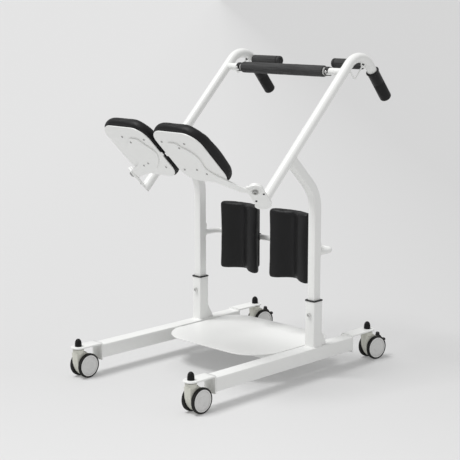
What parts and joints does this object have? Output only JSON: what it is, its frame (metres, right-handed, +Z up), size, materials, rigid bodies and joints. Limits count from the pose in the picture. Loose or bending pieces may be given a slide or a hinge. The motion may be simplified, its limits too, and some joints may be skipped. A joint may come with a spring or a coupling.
{
  "type": "stand-up transfer chair",
  "caption": "Wheeled standing and transfer aid with swing-away seat halves, knee pads, footplate, telescoping uprights and hooked hand grips.",
  "frame": {"origin": "on the floor under the middle of the chair's bounding box", "axes": "+X forward from the entry side to the hand grips, +Y to the user's left, +Z up"},
  "size_m": [0.9405, 0.5974, 1.0319],
  "materials": {
    "white_powder_coat": "satin white powder coat on steel",
    "black_rubber": "matt black rubber and foam",
    "black_vinyl": "matt black vinyl over foam",
    "caster_housing": "off-white nylon",
    "wheel_grey": "grey moulded wheel",
    "bright_steel": "bright plated steel"
  },
  "bodies": {
    "base": {"leg_left": "white_powder_coat", "leg_right": "white_powder_coat", "caster_bracket_entry_left": "white_powder_coat", "caster_bracket_entry_right": "white_powder_coat", "caster_bracket_front_left": "white_powder_coat", "caster_bracket_front_right": "white_powder_coat", "footplate": "white_powder_coat", "cross_tube_entry": "white_powder_coat", "cross_tube_front": "white_powder_coat", "sleeve_left": "white_powder_coat", "sleeve_right": "white_powder_coat", "collar_left": "black_rubber", "collar_right": "black_rubber", "lock_screw_left": "bright_steel", "lock_screw_right": "bright_steel", "bumper_entry_left": "black_rubber", "bumper_entry_right": "black_rubber", "bumper_front_left": "black_rubber", "bumper_front_right": "black_rubber"},
    "upper_frame": {"mast_left": "white_powder_coat", "mast_right": "white_powder_coat", "handle_tube_left": "white_powder_coat", "handle_tube_right": "white_powder_coat", "hand_grip_left": "black_rubber", "hand_grip_right": "black_rubber", "side_grip_left": "black_rubber", "side_grip_right": "black_rubber", "crossbar_tube": "bright_steel", "crossbar_foam": "black_rubber", "crossbar_clip_left": "black_rubber", "crossbar_clip_right": "black_rubber", "knee_bar": "white_powder_coat", "knee_shell_left": "black_rubber", "knee_shell_right": "black_rubber", "knee_pad_left": "black_vinyl", "knee_pad_right": "black_vinyl", "pivot_bolt_left": "bright_steel", "pivot_bolt_right": "bright_steel"},
    "seat_left": {"seat_arm_left": "white_powder_coat", "seat_panel_left": "white_powder_coat", "seat_pad_left": "black_vinyl"},
    "seat_right": {"seat_arm_right": "white_powder_coat", "seat_panel_right": "white_powder_coat", "seat_pad_right": "black_vinyl"},
    "button_left": {"crossbar_button_left": "bright_steel"},
    "button_right": {"crossbar_button_right": "bright_steel"},
    "caster_entry_left": {"housing_entry_left": "caster_housing"},
    "caster_entry_right": {"housing_entry_right": "caster_housing"},
    "caster_front_left": {"housing_front_left": "caster_housing"},
    "caster_front_right": {"housing_front_right": "caster_housing"},
    "roll_entry_left_outer": {"wheel_entry_left_outer": "wheel_grey"},
    "roll_entry_left_inner": {"wheel_entry_left_inner": "wheel_grey"},
    "roll_entry_right_outer": {"wheel_entry_right_outer": "wheel_grey"},
    "roll_entry_right_inner": {"wheel_entry_right_inner": "wheel_grey"},
    "roll_front_left_outer": {"wheel_front_left_outer": "wheel_grey"},
    "roll_front_left_inner": {"wheel_front_left_inner": "wheel_grey"},
    "roll_front_right_outer": {"wheel_front_right_outer": "wheel_grey"},
    "roll_front_right_inner": {"wheel_front_right_inner": "wheel_grey"},
    "pedal_left": {"brake_pedal_left": "black_rubber"},
    "pedal_right": {"brake_pedal_right": "black_rubber"}
  },
  "joints": [
    {"name": "height_slide", "type": "slide", "parent": "base", "child": "upper_frame", "axis": [0, 0, 1], "range_m": [0, 0.1]},
    {"name": "seat_left_swing", "type": "hinge", "parent": "upper_frame", "child": "seat_left", "pos_m": [-0.1864, 0.2735, 0.6409], "axis": [-0.6202, 0.4802, -0.6202], "range_deg": [0, 92]},
    {"name": "seat_right_swing", "type": "hinge", "parent": "upper_frame", "child": "seat_right", "pos_m": [-0.1864, -0.2735, 0.6409], "axis": [0.6202, 0.4802, 0.6202], "range_deg": [0, 92]},
    {"name": "button_left_press", "type": "slide", "parent": "upper_frame", "child": "button_left", "axis": [1, 0, 0], "range_m": [0, 0.004], "stiffness_N_per_m": 400, "springref_m": -0.002},
    {"name": "button_right_press", "type": "slide", "parent": "upper_frame", "child": "button_right", "axis": [1, 0, 0], "range_m": [0, 0.004], "stiffness_N_per_m": 400, "springref_m": -0.002},
    {"name": "swivel_entry_left", "type": "hinge", "parent": "base", "child": "caster_entry_left", "pos_m": [-0.446, 0.261, 0.0955], "axis": [0, 0, 1], "continuous": true},
    {"name": "swivel_entry_right", "type": "hinge", "parent": "base", "child": "caster_entry_right", "pos_m": [-0.446, -0.261, 0.0955], "axis": [0, 0, 1], "continuous": true},
    {"name": "swivel_front_left", "type": "hinge", "parent": "base", "child": "caster_front_left", "pos_m": [0.3795, 0.261, 0.0955], "axis": [0, 0, 1], "continuous": true},
    {"name": "swivel_front_right", "type": "hinge", "parent": "base", "child": "caster_front_right", "pos_m": [0.3795, -0.261, 0.0955], "axis": [0, 0, 1], "continuous": true},
    {"name": "spin_entry_left_outer", "type": "hinge", "parent": "caster_entry_left", "child": "roll_entry_left_outer", "pos_m": [-0.4218, 0.2815, 0.04], "axis": [0, 1, 0], "continuous": true},
    {"name": "spin_entry_left_inner", "type": "hinge", "parent": "caster_entry_left", "child": "roll_entry_left_inner", "pos_m": [-0.4218, 0.2405, 0.04], "axis": [0, 1, 0], "continuous": true},
    {"name": "spin_entry_right_outer", "type": "hinge", "parent": "caster_entry_right", "child": "roll_entry_right_outer", "pos_m": [-0.4218, -0.2815, 0.04], "axis": [0, 1, 0], "continuous": true},
    {"name": "spin_entry_right_inner", "type": "hinge", "parent": "caster_entry_right", "child": "roll_entry_right_inner", "pos_m": [-0.4218, -0.2405, 0.04], "axis": [0, 1, 0], "continuous": true},
    {"name": "spin_front_left_outer", "type": "hinge", "parent": "caster_front_left", "child": "roll_front_left_outer", "pos_m": [0.40689, 0.27699, 0.04], "axis": [0.1736, 0.9848, 0], "continuous": true},
    {"name": "spin_front_left_inner", "type": "hinge", "parent": "caster_front_left", "child": "roll_front_left_inner", "pos_m": [0.39977, 0.23661, 0.04], "axis": [0.1736, 0.9848, 0], "continuous": true},
    {"name": "spin_front_right_outer", "type": "hinge", "parent": "caster_front_right", "child": "roll_front_right_outer", "pos_m": [0.39977, -0.28539, 0.04], "axis": [0.1736, 0.9848, 0], "continuous": true},
    {"name": "spin_front_right_inner", "type": "hinge", "parent": "caster_front_right", "child": "roll_front_right_inner", "pos_m": [0.40689, -0.24501, 0.04], "axis": [0.1736, 0.9848, 0], "continuous": true},
    {"name": "brake_left", "type": "hinge", "parent": "caster_front_left", "child": "pedal_left", "pos_m": [0.42157, 0.25358, 0.06852], "axis": [0.1736, 0.9848, 0], "range_deg": [0, 7]},
    {"name": "brake_right", "type": "hinge", "parent": "caster_front_right", "child": "pedal_right", "pos_m": [0.42157, -0.26842, 0.06852], "axis": [0.1736, 0.9848, 0], "range_deg": [0, 7]}
  ]
}
